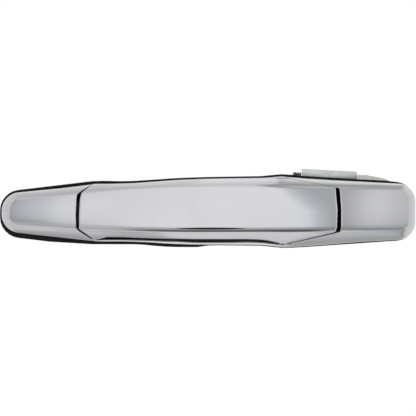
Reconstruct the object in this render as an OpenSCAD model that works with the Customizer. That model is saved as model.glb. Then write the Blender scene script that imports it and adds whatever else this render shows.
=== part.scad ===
// Pull-type outside door handle, blank end: fixed bezel, hinged lever, bellcrank latch drive.
// Millimetres. X runs along the door, -Y points out of the door, Z is up.
// The door skin is the plane y = 0. The origin is midway between the two mounting studs.

/* [Bezel and lever] */
// wall of the chrome mouldings
shell_wall = 2.2; // [1.8:0.1:2.4]
// how far the front of the handle stands off the door
peak_depth = 41; // [39:0.5:43]
// bulge of the front faces across their height
face_crown = 1.4; // [0.5:0.1:2.5]
// thickness of the lever from its front to its grip cover
lever_thick = 17.5; // [16:0.5:18.5]

/* [Seal and base plate] */
// foam gasket
gasket_thick = 1.5; // [1.2:0.1:1.8]
// nylon base plate
plate_thick = 3; // [2.8:0.1:3.2]
// depth of the box that goes through the door skin
tub_depth = 8; // [6:0.5:9]

/* [Mounting] */
// distance between the two studs
stud_spacing = 240; // [238:1:242]
// radius of the studs
stud_r = 3; // [2.5:0.5:3]
// how far the studs reach behind the door skin
stud_reach = 20; // [16:1:24]

/* [Lever pivot] */
// pivot pin radius
pivot_r = 2.5; // [2:0.25:2.5]
// clearance of the pins in their bushes
running_gap = 0.05; // [0.03:0.01:0.08]

/* [Bellcrank] */
// shaft radius
shaft_r = 2; // [1.75:0.25:2]
// distance from the shaft to the pin that the lever pulls
crank_reach = 28; // [27:0.5:28.5]
// top of the counterweight above the origin
weight_top = 29.5; // [28.5:0.5:30.5]
// wire of the return spring
wire_r = 0.75; // [0.6:0.05:0.8]
// radius of the rod end that the plastic clip takes
rod_r = 2; // [1.5:0.25:2]

/* [Hidden] */
$fn = 48;

chrome = [0.83, 0.83, 0.85];
nylon = [0.06, 0.06, 0.065];
rubber = [0.03, 0.03, 0.03];
steel = [0.62, 0.63, 0.65];
zinc = [0.75, 0.76, 0.76];
acetal = [0.85, 0.84, 0.78];

// outline of the base: ends, corner radii and the straight-line heights between them
left_x = -140.2;
right_x = 140.8;
corner_r = 11.5;
top_line = [[-140.2, 12.4], [-131, 13.3], [-97, 16.7], [-80, 18.8], [-75, 19.9], [-64, 20],
    [-50, 20.4], [-21, 22.5], [-5, 23.2], [18, 23.7], [36, 23.9], [47, 24.6], [51, 24.1],
    [65, 23], [83, 21.9], [107, 20.65], [140.8, 18.7]];
bottom_line = [[-140.2, -13.6], [-131, -14.3], [-116, -16.1], [-97, -18.05], [-78, -20],
    [-55, -20], [-40, -20.6], [-28, -21.5], [-12, -22.1], [35, -22.3], [45, -23.3], [52, -24],
    [64, -23.4], [83, -22], [102, -20.5], [140.8, -18.3]];
upper_crease = [[-140.2, 8.2], [-92, 12.4], [-79, 14], [-55, 16.2], [-5, 18], [31, 18.1],
    [82, 16.8], [140.8, 15.4]];
lower_crease = [[-140.2, -7], [-120, -8.5], [-90, -11], [-53, -12.6], [-20, -13.1],
    [12, -13.1], [90, -12.6], [140.8, -11]];
end_flank = 4.6;

// outline of the lever, each as [x, z] or [z, x]
lever_top = [[-87.3, 11], [-85.8, 12.4], [-77, 19], [-64, 19.05], [-50, 19.45], [-21, 21.6],
    [-5, 22.3], [18, 22.8], [36, 22.95], [46, 23.7], [48, 23.8], [87, 16]];
lever_bottom = [[-87.3, -11], [-77, -18.9], [-75.5, -18.6], [-68.6, -16.9], [-59, -16.9],
    [-50, -17.3], [-31, -17.9], [-5, -18.2], [26, -18.2], [35.5, -18.5], [40.2, -19.2],
    [45, -20.3], [51, -22], [87, -13.3]];
lever_left = [[-11, -87.3], [-1.6, -87.3], [9, -86.7], [12.3, -85.5]];
lever_right = [[-13.6, 85.1], [-10.5, 86.6], [1.5, 87], [16.2, 85.6]];
gap_left = [[-19.45, -77.45], [-11.8, -87.9], [-10.2, -89.2], [-1.6, -89.4], [9, -88.8],
    [11.8, -87.9], [13.25, -86.45], [19.5, -77.4]];
gap_right = [[-22.6, 50], [-14.1, 85.2], [-13.6, 88.4], [-10.5, 89.2], [1.5, 89.2],
    [15.6, 88.2], [16.3, 87.3], [24.15, 48.1]];

peak_x = 35;
fall_left = 0.000785;
fall_right = 0.0015;
foot = gasket_thick;
lip = 0.3;
flank_power = 0.33;
lever_edge = 1.1;
lever_edge_power = 0.25;
rail_depth = 5;
rail_left = -78;
rail_right = 57;
rail_high = [[-80, 1.5], [-50, 1.5], [-40, 1.65], [-21, 2.25], [-5, 1.8], [16, 2], [26, 2.3],
    [60, 2.1]];

pivot_x = -106;
pivot_y = -16;
plate_front = -gasket_thick - plate_thick;
axis_y = 20;
axis_z = 21.5;
rest_angle = 21.7;
tip_y = axis_y + crank_reach * sin(rest_angle);
tip_z = axis_z - crank_reach * cos(rest_angle);
mid_tip_z = axis_z - crank_reach;
arm_x = 77;
arm_thick = 5;
window_gap = 0.75;
slot = [[72, 87], [-13.2, 2.2]];
stud_x = stud_spacing / 2;
stud_shoulder = stud_r + 1.2;
bracket_screw_x = [64.5, 98];
boss_at = [[-131, -1], [-95, -12.3], [100, -13], [131, 0]];
boss_r = 2.8;
screw_r = 1.5;
lever_screw_x = [-58, 0, 50];

// surface of the front of the handle

function depth(x) = peak_depth - (x < peak_x ? fall_left : fall_right) * pow(x - peak_x, 2);
function mix(a, b, t) = a + (b - a) * t;
function clamp01(t) = min(1, max(0, t));
function signed_pow(t, p) = sign(t) * pow(abs(t), p);
function corner_drop(x) =
    let(d = min(x - left_x, right_x - x))
    d >= corner_r ? 0 : corner_r - sqrt(max(0, pow(corner_r, 2) - pow(corner_r - d, 2)));
function top_z(x) = lookup(x, top_line) - corner_drop(x);
function bottom_z(x) = lookup(x, bottom_line) + corner_drop(x);

// share of the full depth reached at a point, rising steeply from the outline to the crease
function rise(x, z) =
    let(
        dx = min(x - left_x, right_x - x),
        top_gap = lookup(x, top_line) - z,
        bottom_gap = z - lookup(x, bottom_line),
        dz = min(top_gap, bottom_gap),
        top_flank = lookup(x, top_line) - lookup(x, upper_crease),
        bottom_flank = lookup(x, lower_crease) - lookup(x, bottom_line),
        side_flank = top_gap < bottom_gap ? top_flank : bottom_flank,
        u = max(0, 1 - dx / corner_r),
        v = max(0, 1 - dz / corner_r),
        r = norm([u, v]),
        share = u > 0 && v > 0 ?
            corner_r * (1 - r) * r * r / (end_flank * u * u + side_flank * v * v) :
            min(dx / end_flank, dz / side_flank)
    )
    min(1, signed_pow(share, flank_power));

function front(x, z) =
    let(
        middle = (lookup(x, upper_crease) + lookup(x, lower_crease)) / 2,
        half = (lookup(x, upper_crease) - lookup(x, lower_crease)) / 2,
        off = min(1, abs(z - middle) / half)
    )
    foot + lip + (depth(x) - face_crown * off * off - foot - lip) * rise(x, z);

// the rail under the lever stays low and runs up into the two end sections
function bezel_front(x, z) =
    min(front(x, z), lookup(x, [[-85, 60], [-75, rail_depth], [50, rail_depth], [62, 60]]));

// the back steps in at the hinge end, where the core's arm leaves the lever
function lever_back(x) = depth(x) - lookup(x, [[-84.8, 4.8], [-77, lever_thick]]);
function lever_rise(x, z) =
    let(
        dz = min(z - lookup(x, lever_bottom), lookup(x, lever_top) - z),
        dx = min(x - lookup(z, lever_left), lookup(z, lever_right) - x)
    )
    min(1, signed_pow(min(dx, dz) / lever_edge, lever_edge_power));
function lever_front(x, z) =
    let(back = lever_back(x))
    back + (max(front(x, z), back + 1) - back) * lever_rise(x, z);

// a point of a surface, and the point one wall further in
function inward(slope_x, slope_z, wall) = wall * [slope_x, 1, slope_z] / norm([slope_x, 1, slope_z]);
function bezel_outer(x, z) = [x, -bezel_front(x, z), z];
function to_segment(p, a, b) =
    let(t = clamp01((p - a) * (b - a) / ((b - a) * (b - a)))) norm(p - a - t * (b - a));
function to_line(p, line) = min([for (k = [1 : len(line) - 1])
    to_segment(p, [line[k - 1][1], line[k - 1][0]], [line[k][1], line[k][0]])]);
// near the lever the wall is measured straight back, so the gap stays open behind its edge
function bezel_inner(x, z) =
    let(
        e = 0.05,
        sx = (bezel_front(x + e, z) - bezel_front(x - e, z)) / (2 * e),
        sz = (bezel_front(x, z + e) - bezel_front(x, z - e)) / (2 * e),
        near = clamp01(min(to_line([x, z], gap_left), to_line([x, z], gap_right)) / 3.5),
        back = shell_wall * norm([sx, 1, sz]),
        p = bezel_outer(x, z) + mix([0, back, 0], inward(sx, sz, shell_wall), near)
    )
    [p[0], min(p[1], -foot), p[2]];
function lever_outer(x, z) = [x, -lever_front(x, z), z];
function lever_inner(x, z) =
    let(
        e = 0.05,
        sx = (lever_front(x + e, z) - lever_front(x - e, z)) / (2 * e),
        sz = (lever_front(x, z + e) - lever_front(x, z - e)) / (2 * e),
        p = lever_outer(x, z) + inward(sx, sz, shell_wall)
    )
    [p[0], min(p[1], -lever_back(x) - 0.02), p[2]];

// closed skin between two grids of points, over the cells that are kept
module grid_solid(outer, inner, cells) {
    rows = len(outer[0]);
    count = len(outer) * rows;
    points = [for (side = [outer, inner]) for (column = side) for (p = column) p];
    faces = [
        for (i = [0 : len(cells) - 1]) for (j = [0 : len(cells[i]) - 1]) if (cells[i][j])
            let(
                a = i * rows + j, b = a + 1, c = a + rows + 1, d = a + rows,
                below = j > 0 && cells[i][j - 1],
                above = j < len(cells[i]) - 1 && cells[i][j + 1],
                before = i > 0 && cells[i - 1][j],
                after = i < len(cells) - 1 && cells[i + 1][j]
            )
            each [
                [a, b, c], [a, c, d],
                [a + count, c + count, b + count], [a + count, d + count, c + count],
                if (!below) each [[a, d, d + count], [a, d + count, a + count]],
                if (!before) each [[b, a, a + count], [b, a + count, b + count]],
                if (!above) each [[c, b, b + count], [c, b + count, c + count]],
                if (!after) each [[d, c, c + count], [d, c + count, d + count]]
            ]
    ];
    polyhedron(points, faces, convexity = 8);
}

// bezel grid

bezel_rows = 12;
rail_rows = 2;
function bezel_row_z(x, j) =
    let(
        low = bottom_z(x),
        high = top_z(x),
        tall = high - low,
        rail = min(lookup(x, rail_high), 0.25 * tall),
        lower = min(max(lookup(x, lower_crease) - lookup(x, bottom_line), rail + 1), 0.45 * tall),
        upper = min(lookup(x, top_line) - lookup(x, upper_crease), 0.45 * tall)
    )
    j == 0 ? low :
    j == 1 ? low + 0.5 * rail :
    j == 2 ? low + rail :
    j == 3 ? low + mix(rail, lower, 0.35) :
    j == 4 ? low + mix(rail, lower, 0.7) :
    j == 5 ? low + lower :
    j < 9 ? mix(low + lower, high - upper, (j - 5) / 4) :
    j == 9 ? high - upper :
    j == 10 ? high - 0.55 * upper :
    j == 11 ? high - 0.2 * upper :
    high;
function settle(x, j, edge, turns) =
    turns == 0 ? x : settle(lookup(bezel_row_z(x, j), edge), j, edge, turns - 1);
function left_edge(j) = j <= rail_rows ? rail_left : settle(-88, j, gap_left, 8);
function right_edge(j) = j <= rail_rows ? rail_right : settle(88, j, gap_right, 8);
left_steps = [0, 0.5, 1.5, 3, 5, 7.5, 10.5, 15, 21, 28, 35, 42, 47, 50] / 50;
mid_steps = [0.0222, 0.06, 0.14, 0.24, 0.35, 0.46, 0.57, 0.68, 0.79, 0.88, 0.948, 0.974];
bezel_x_of = function(i, j)
    i < len(left_steps) ? mix(left_x, left_edge(j), left_steps[i]) :
    i < len(left_steps) + len(mid_steps) ?
        mix(left_edge(j), right_edge(j), mid_steps[i - len(left_steps)]) :
    mix(right_x, right_edge(j), left_steps[len(left_steps) * 2 + len(mid_steps) - 1 - i]);
bezel_columns = 2 * len(left_steps) + len(mid_steps);
bezel_xz = [for (i = [0 : bezel_columns - 1]) [for (j = [0 : bezel_rows])
    let(x = bezel_x_of(i, j)) [x, bezel_row_z(x, j)]]];
bezel_cells = [for (i = [0 : bezel_columns - 2]) [for (j = [0 : bezel_rows - 1])
    j < rail_rows || i < len(left_steps) - 1 || i >= len(left_steps) + len(mid_steps)]];

// behind the rail the skin is solid down to the gasket
function rail_inner(x, z) =
    let(d = z - bottom_z(x)) [x, -foot, z + 0.4 * max(0, 1 - d / lookup(x, rail_high))];
function is_rail(p) = p[0] > -77.9 && p[0] < 56.9;

// a plate standing on the plane y = rear, its outline drawn in X and Z
module slab(rear, thick)
    translate([0, rear, 0]) rotate([90, 0, 0]) linear_extrude(thick) children();
// a plate square to X, its outline drawn in Y and Z
module rib(from_x, thick)
    translate([from_x, 0, 0]) rotate([90, 0, 90]) linear_extrude(thick) children();
// a rod along Y from one depth to a nearer one
module rod_y(x, z, radius, rear, ahead)
    translate([x, rear, z]) rotate([90, 0, 0]) cylinder(r = radius, h = rear - ahead);
module rod_x(y, z, radius, from_x, to_x)
    translate([from_x, y, z]) rotate([0, 90, 0]) cylinder(r = radius, h = to_x - from_x);
module block(low, high) translate(low) cube(high - low);

// how high a boss may stand and stay inside the skin all round
function boss_top(x, z) =
    min([for (dx = [-boss_r, 0, boss_r]) for (dz = [-boss_r, 0, boss_r]) bezel_front(x + dx, z + dz)]);

module bezel() {
    outer = [for (column = bezel_xz) [for (p = column) bezel_outer(p[0], p[1])]];
    inner = [for (column = bezel_xz) [for (p = column)
        is_rail(p) && p[1] < 0 ? rail_inner(p[0], p[1]) : bezel_inner(p[0], p[1])]];
    color(chrome) resize([0, 0, 0]) difference() {
        union() {
            grid_solid(outer, inner, bezel_cells);
            for (b = boss_at)
                rod_y(b[0], b[1], boss_r, plate_front - 0.1, 1.2 - boss_top(b[0], b[1]));
        }
        for (b = boss_at)
            rod_y(b[0], b[1], screw_r + 0.03, plate_front + 1, plate_front - 9);
    }
}

// base plate, gasket and fixings

gasket_top = [[-141.5, 13.7], [-131, 14.8], [-116, 16.4], [-97, 18.5], [-78, 21.1], [-72, 21.2],
    [-59, 20.9], [-49, 21.2], [-40, 21.8], [-21, 23.1], [-2, 23.8], [17, 24.1], [36, 24.4],
    [45, 25.4], [51, 25.8], [58, 25.2], [65, 24.5], [83, 23.4], [96, 22.5], [111, 21.9],
    [123, 21.1], [128, 20.5], [141, 19]];
gasket_bottom = [[-141.5, -16.2], [-132, -17.3], [-118, -19], [-107, -20.3], [-88, -21.5],
    [-78, -22], [-50, -22], [-40, -22.5], [-34, -23.4], [-21, -23.9], [-6, -23.9], [-4, -23],
    [7, -22.7], [35, -22.9], [45, -23.9], [52, -24.6], [64, -24], [83, -22.55], [102, -21.05],
    [141, -18.85]];
plate_inset = [[-84, shell_wall + 0.5], [-76, 0.7], [46, 0.7], [48, shell_wall + 0.5]];
tub = [[-96, 108], [-16, 14]];
tub_wall = 2;

// rounded-end outline between two lines, its ends drawn in by the given margin
function end_drop(x, from_x, to_x, radius) =
    let(d = min(x - from_x, to_x - x))
    d >= radius ? 0 : radius - sqrt(max(0, pow(radius, 2) - pow(radius - d, 2)));
function stations(from_x, to_x, radius) = concat(
    [for (a = [0 : 15 : 75]) from_x + radius * (1 - cos(a))],
    [for (k = [0 : 36]) mix(from_x + radius, to_x - radius, k / 36)],
    [for (a = [75 : -15 : 0]) to_x - radius * (1 - cos(a))]
);
module outline(top, bottom, from_x, to_x, radius, inset, bottom_inset) {
    xs = stations(from_x, to_x, radius);
    last = len(xs) - 1;
    polygon(concat(
        [for (x = xs)
            [x, lookup(x, top) - lookup(x, inset) - end_drop(x, from_x, to_x, radius)]],
        [for (k = [last : -1 : 0])
            [xs[k], lookup(xs[k], bottom) + bottom_inset + end_drop(xs[k], from_x, to_x, radius)]]
    ));
}
module plate_outline() {
    inset = shell_wall + 0.5;
    outline(top_line, bottom_line, left_x + inset, right_x - inset, corner_r - inset,
        plate_inset, inset);
}
module window(area, grow) {
    translate([area[0][0] - grow, area[1][0] - grow])
        square([area[0][1] - area[0][0] + 2 * grow, area[1][1] - area[1][0] + 2 * grow]);
}

module chassis() {
    color(nylon) difference() {
        union() {
            slab(-gasket_thick, plate_thick) plate_outline();
            slab(tub_depth, tub_depth + gasket_thick + 0.5) difference() {
                window(tub, 0);
                window(tub, -tub_wall);
            }
            for (x = [-70, -42, -14, 14, 42])
                block([x - 0.8, -gasket_thick - 0.5, tub[1][0] + 1], [x + 0.8, 4, tub[1][1] - 1]);
            for (x = bracket_screw_x) rod_y(x, 11, 3, tub_depth, -gasket_thick - 0.5);
            for (s = [-1, 1]) translate([0, 0, s * 8.9 - 1.05]) linear_extrude(2.1) union() {
                polygon([[pivot_x - 6.5, plate_front + 0.5], [pivot_x + 6.5, plate_front + 0.5],
                    [pivot_x + 4.4, pivot_y], [pivot_x - 4.4, pivot_y]]);
                translate([pivot_x, pivot_y]) circle(4.4);
            }
        }
        translate([pivot_x, pivot_y, -20]) cylinder(r = pivot_r + 0.02, h = 40);
        slab(5, 20) window(slot, 0);
        for (x = [-stud_x, stud_x]) rod_y(x, 0, stud_shoulder + 0.02, 5, plate_front - 5);
        for (b = boss_at) {
            rod_y(b[0], b[1], screw_r + 0.1, 5, plate_front - 5);
            rod_y(b[0], b[1], 3.1, 0, -gasket_thick - 1.7);
        }
        for (x = bracket_screw_x) rod_y(x, 11, screw_r + 0.03, 20, -1);
        rod_y(71, -5, 1.55, 5, plate_front - 5);
    }
}

module gasket() {
    color(rubber) slab(0, gasket_thick) difference() {
        outline(gasket_top, gasket_bottom, -141.5, 141, corner_r + 0.8, [[0, 0]], 0);
        window(tub, 0.5);
        for (x = [-stud_x, stud_x]) translate([x, 0]) circle(stud_shoulder + 0.4);
    }
}

module mounting_studs() {
    color(steel) for (x = [-stud_x, stud_x]) {
        rod_y(x, 0, stud_r, stud_reach, -0.5);
        rod_y(x, 0, stud_shoulder, -0.02, plate_front - 0.5);
        rod_y(x, 0, 5.4, plate_front, plate_front - 1.6);
    }
}

module screw_y(x, z, seat, reach, head_r) {
    rod_y(x, z, screw_r, seat + 0.4, seat - reach);
    difference() {
        rod_y(x, z, head_r, seat + 1.5, seat);
        rod_y(x, z, 1.1, seat + 2, seat + 0.6);
    }
}

module bezel_screws() {
    color(steel) for (b = boss_at) screw_y(b[0], b[1], -gasket_thick - 1.7, 9, 2.9);
}

module lever_pivot_pin() {
    color(steel) translate([pivot_x, pivot_y, 0]) {
        translate([0, 0, -11]) cylinder(r = pivot_r, h = 22);
        translate([0, 0, 10.02]) cylinder(r = 3.1, h = 1);
    }
}

module arm_slot_seal() {
    color(rubber) slab(plate_front, 1.4) difference() {
        window(slot, 2);
        window(slot, 0);
    }
}

module stop_bumper() {
    color(rubber) union() {
        rod_y(71, -5, 1.5, 0, plate_front);
        rod_y(71, -5, 3.3, 4.9, -gasket_thick);
    }
}

// lever

lever_rows = 10;
lever_skin = 0.12;
function lever_row_z(x, j) =
    let(
        low = lookup(x, lever_bottom),
        high = lookup(x, lever_top),
        lower = max(lookup(x, lower_crease), low + 1.9),
        upper = min(lookup(x, upper_crease), high - 1.9)
    )
    j == 0 ? low :
    j == 1 ? low + lever_skin :
    j == 2 ? low + lever_edge :
    j < 8 ? mix(lower, upper, (j - 3) / 4) :
    j == 8 ? high - lever_edge :
    j == 9 ? high - lever_skin :
    high;
function lever_settle(x, j, edge, turns) =
    turns == 0 ? x : lever_settle(lookup(lever_row_z(x, j), edge), j, edge, turns - 1);
lever_long = 172.9;
lever_steps = concat([0, lever_skin, lever_edge, 4], [for (k = [1 : 22]) k * 7.5],
    [171, lever_long - lever_edge, lever_long - lever_skin, lever_long]) / lever_long;
lever_xz = [for (s = lever_steps) [for (j = [0 : lever_rows])
    let(x = mix(lever_settle(-87, j, lever_left, 4), lever_settle(86, j, lever_right, 4), s))
    [x, lever_row_z(x, j)]]];

module lever_face() {
    cells = [for (i = [1 : len(lever_steps) - 1]) [for (j = [1 : lever_rows]) true]];
    color(chrome) grid_solid(
        [for (column = lever_xz) [for (p = column) lever_outer(p[0], p[1])]],
        [for (column = lever_xz) [for (p = column) lever_inner(p[0], p[1])]],
        cells);
}

cover_thick = 4.4;
cover_x = [-74.5, 67.3];
function cover_z(x, inset, share) =
    mix(lookup(x, lever_bottom) + inset, lookup(x, lever_top) - inset, share);
module grip_cover() {
    xs = [for (i = [0 : 24]) mix(cover_x[0], cover_x[1], i / 24)];
    rim = shell_wall + 0.7;
    ahead = [for (x = xs) [for (j = [0 : 6])
        [x, -lever_back(x) - cover_thick, cover_z(x, shell_wall + 3.4, j / 6)]]];
    behind = [for (x = xs) [for (j = [0 : 6])
        [x, -lever_back(x) + 1.6 * (1 - pow(j / 3 - 1, 2)), cover_z(x, rim, j / 6)]]];
    cells = [for (i = [1 : 24]) [for (j = [1 : 6]) true]];
    color(nylon) difference() {
        grid_solid(ahead, behind, cells);
        for (x = lever_screw_x) rod_y(x, 0, 3.1, 0, -lever_back(x) - 2);
        for (x = lever_screw_x) rod_y(x, 0, screw_r + 0.1, 0, -40);
    }
}

core_ahead = shell_wall + 2.2;
core_high = 7.2;
module core_plan() {
    xs = [for (k = [0 : 16]) mix(-80, 80, k / 16)];
    polygon(concat(
        [[pivot_x + 1, pivot_y - 5.1], [-98, -22.2], [-90, -23.3], [-84, -24.6]],
        [for (x = xs) [x, -depth(x) + core_ahead]],
        [for (k = [16 : -1 : 0]) [xs[k], -lever_back(xs[k]) - cover_thick - 0.4]],
        [[-88, -17.6], [-96, -14], [pivot_x + 1, pivot_y + 5.1]]
    ));
    translate([pivot_x, pivot_y]) circle(5.2);
}
module lever_core() {
    window_low = mid_tip_z - 2 - 0.4;
    window_high = tip_z + 2 + 0.4;
    color(nylon) difference() {
        union() {
            translate([0, 0, -core_high]) linear_extrude(2 * core_high) core_plan();
            block([67.8, -31, -11], [83.4, -8, 9.3]);
            rib(arm_x - arm_thick / 2, arm_thick) polygon([[-20, -11], [-20, 1.2], [20, 1.2],
                [tip_y + 6.5, 0.5], [tip_y + 7, -1], [tip_y + 7, -10], [tip_y + 5, -12], [20, -12]]);
        }
        block([0, tip_y - 2 - window_gap, window_low], [100, tip_y + 2 + window_gap, window_high]);
        translate([pivot_x, pivot_y, -20]) cylinder(r = 3.9, h = 40);
        for (x = lever_screw_x) rod_y(x, 0, screw_r + 0.03, -10, -lever_back(x) - cover_thick - 6.5);
    }
}

module pivot_bushes() {
    color(acetal) for (s = [0, 1]) mirror([0, 0, s]) translate([pivot_x, pivot_y, 0]) difference() {
        union() {
            translate([0, 0, 1.5]) cylinder(r = 3.88, h = core_high - 1.5);
            translate([0, 0, core_high + 0.02]) cylinder(r = 5, h = 0.45);
            translate([0, 0, core_high - 0.1]) cylinder(r = 3.88, h = 0.2);
        }
        translate([0, 0, -1]) cylinder(r = pivot_r + running_gap, h = 20);
    }
}

module lever_screws() {
    color(steel) for (x = lever_screw_x)
        screw_y(x, 0, -lever_back(x) - 2, cover_thick + 3.5, 2.9);
}

module lever_bumpers() {
    color(rubber) for (x = [71, 80.5]) rod_y(x, 6.8, 2.2, plate_front - 0.1, -8);
}

// latch drive behind the door skin

ear_r = 3.7;
module ear(from_x) {
    rib(from_x, 3.5) union() {
        polygon([[8, 9], [8, 16], [axis_y - 3.4, axis_z + 2.4], [axis_y + 3.8, axis_z - 2], [10.5, 9]]);
        translate([axis_y, axis_z]) circle(ear_r);
    }
}
module crank_bracket() {
    color(zinc) difference() {
        union() {
            block([54, tub_depth, 9], [112, 10.5, 16]);
            slab(10.5, 10.5 - tub_depth) polygon([[104, 9], [101.5, 25.4], [107.2, 25.2],
                [111.3, 24.5], [116.7, 23.6], [120.5, 22.6], [123.4, 21.5], [126.5, 18.5],
                [127, 14], [114, 9]]);
            ear(54);
            ear(105);
        }
        rod_x(axis_y, axis_z, shaft_r + 0.02, 40, 130);
        for (x = bracket_screw_x) rod_y(x, 11, screw_r + 0.1, 20, 0);
    }
}

module bracket_screws() {
    color(steel) for (x = bracket_screw_x) screw_y(x, 11, 10.5, 9.5, 2.9);
}

module crank_shaft() {
    color(steel) difference() {
        union() {
            rod_x(axis_y, axis_z, shaft_r, 53, 111.6);
            rod_x(axis_y, axis_z, 3.2, 52.2, 53.9);
        }
        difference() {
            rod_x(axis_y, axis_z, 5, 109.2, 110);
            rod_x(axis_y, axis_z, shaft_r - 0.4, 109, 110.2);
        }
    }
}

module shaft_clip() {
    color(steel) difference() {
        rod_x(axis_y, axis_z, 3.9, 109.25, 109.95);
        rod_x(axis_y, axis_z, shaft_r - 0.37, 109, 111);
        block([109, axis_y - 1.3, axis_z - 6], [111, axis_y + 1.3, axis_z]);
    }
}

spring_r = 5;
spring_x = [60.1, 63.7];
spring_turns = 2.25;
// wire swept along a list of points lying mostly in planes square to X
module wire(path, radius) {
    sides = 8;
    last = len(path) - 1;
    points = [for (i = [0 : last])
        let(
            before = path[max(0, i - 1)], after = path[min(last, i + 1)],
            along = (after - before) / norm(after - before),
            side = cross([1, 0, 0], along) / norm(cross([1, 0, 0], along)),
            up = cross(along, side)
        )
        for (k = [0 : sides - 1])
            path[i] + radius * (cos(360 * k / sides) * side + sin(360 * k / sides) * up)];
    polyhedron(points, concat(
        [[for (k = [0 : sides - 1]) k]],
        [for (i = [0 : last - 1]) for (k = [0 : sides - 1])
            let(a = i * sides + k, b = i * sides + (k + 1) % sides)
            each [[a, a + sides, b + sides], [a, b + sides, b]]],
        [[for (k = [sides - 1 : -1 : 0]) last * sides + k]]
    ), convexity = 10);
}
module return_spring() {
    steps = 24 * spring_turns;
    color(steel) wire(concat(
        [[58.7, 11.6, 11.4], [58.7, 12.6, 17], [58.6, 13.8, 23], [58.9, 16.4, 26.2]],
        [for (k = [0 : steps]) let(a = 90 - 360 * k / 24)
            [mix(spring_x[0], spring_x[1], k / steps),
            axis_y + spring_r * cos(a), axis_z + spring_r * sin(a)]],
        [[spring_x[1] + 0.1, 25, 19.5], [65, 23.6, 15.6], [67.5, 20.4, 12.2], [71, 18.9, 9.6]]
    ), wire_r);
}

module arm_outline(from, to, root_r, end_r) {
    along = (to - from) / norm(to - from);
    side = [-along[1], along[0]];
    polygon([from + root_r * side, to + end_r * side, to - end_r * side, from - root_r * side]);
    translate(to) circle(end_r);
}
hub_x = [65.4, 103.6];
hub_r = 3.8;
cheek_x = [69.5, 86];
cheek_thick = 3;
rod_arm_x = 92;
rod_arm_thick = 3.5;
rod_at = [44, 19.5];
rivet_x = [69, 95];
module bellcrank() {
    centre = [axis_y, axis_z];
    color(zinc) difference() {
        union() {
            rod_x(axis_y, axis_z, hub_r, hub_x[0], hub_x[1]);
            for (x = cheek_x) rib(x, cheek_thick) arm_outline(centre, [tip_y, tip_z], hub_r, 3.4);
            rib(rod_arm_x, rod_arm_thick) arm_outline(centre, rod_at, hub_r, 5.2);
            for (x = [66, 92]) block([x, axis_y - 2.5, axis_z], [x + 6, axis_y + 8, 25.5]);
        }
        rod_x(axis_y, axis_z, 3.02, 60, 110);
        rod_x(tip_y, tip_z, 2.01, 60, 110);
        rod_x(rod_at[0], rod_at[1], 3.05, 80, 110);
        for (x = rivet_x) translate([x, axis_y + 5.6, 20]) cylinder(r = 1.32, h = 10);
    }
}

module crank_pin() {
    color(steel) union() {
        rod_x(tip_y, tip_z, 2, cheek_x[0] - 0.6, cheek_x[1] + cheek_thick + 0.8);
        rod_x(tip_y, tip_z, 2.7, cheek_x[0] - 1.4, cheek_x[0] - 0.02);
    }
}

module crank_bushes() {
    color(acetal) for (end = [[hub_x[0], 1], [hub_x[1], -1]]) difference() {
        union() {
            rod_x(axis_y, axis_z, 3, min(end[0] - 0.2 * end[1], end[0] + 8 * end[1]),
                max(end[0] - 0.2 * end[1], end[0] + 8 * end[1]));
            rod_x(axis_y, axis_z, 3.8, min(end[0] - 0.02 * end[1], end[0] - 0.8 * end[1]),
                max(end[0] - 0.02 * end[1], end[0] - 0.8 * end[1]));
        }
        rod_x(axis_y, axis_z, shaft_r + running_gap, 50, 120);
    }
}

module counterweight() {
    color(zinc) difference() {
        union() {
            slab(axis_y + 8.4, 15.4) polygon([[64.6, 25.6], [64.4, weight_top - 0.5],
                [65, weight_top], [101, weight_top - 1.9], [101.8, weight_top - 2.5], [102, 25.6]]);
            block([64.6, axis_y - 7, axis_z], [102, axis_y - 5, 26]);
        }
        for (x = rivet_x) translate([x, axis_y + 5.6, 20]) cylinder(r = 1.32, h = 12);
    }
}

module weight_rivets() {
    color(steel) for (x = rivet_x)
        translate([x, axis_y + 5.6, 21.9]) cylinder(r = 1.3, h = weight_top - 2.3 - 21.9);
}

module rod_clip() {
    color(acetal) difference() {
        union() {
            rod_x(rod_at[0], rod_at[1], 3, rod_arm_x - 0.6, rod_arm_x + rod_arm_thick + 0.6);
            rod_x(rod_at[0], rod_at[1], 3.7, rod_arm_x - 2, rod_arm_x - 0.1);
            rod_x(rod_at[0], rod_at[1], 4.8, rod_arm_x + rod_arm_thick + 0.1, rod_arm_x + rod_arm_thick + 2);
            block([rod_arm_x + rod_arm_thick + 0.1, rod_at[0] - 2, rod_at[1] - 12],
                [rod_arm_x + rod_arm_thick + 2, rod_at[0] + 2, rod_at[1] - 3.5]);
        }
        rod_x(rod_at[0], rod_at[1], rod_r, 80, 110);
    }
}

bezel();
chassis();
gasket();
mounting_studs();
bezel_screws();
lever_pivot_pin();
crank_bracket();
bracket_screws();
crank_shaft();
shaft_clip();
return_spring();
stop_bumper();
arm_slot_seal();
lever_face();
grip_cover();
lever_core();
pivot_bushes();
lever_screws();
lever_bumpers();
bellcrank();
crank_pin();
crank_bushes();
counterweight();
weight_rivets();
rod_clip();
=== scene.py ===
import math

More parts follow.
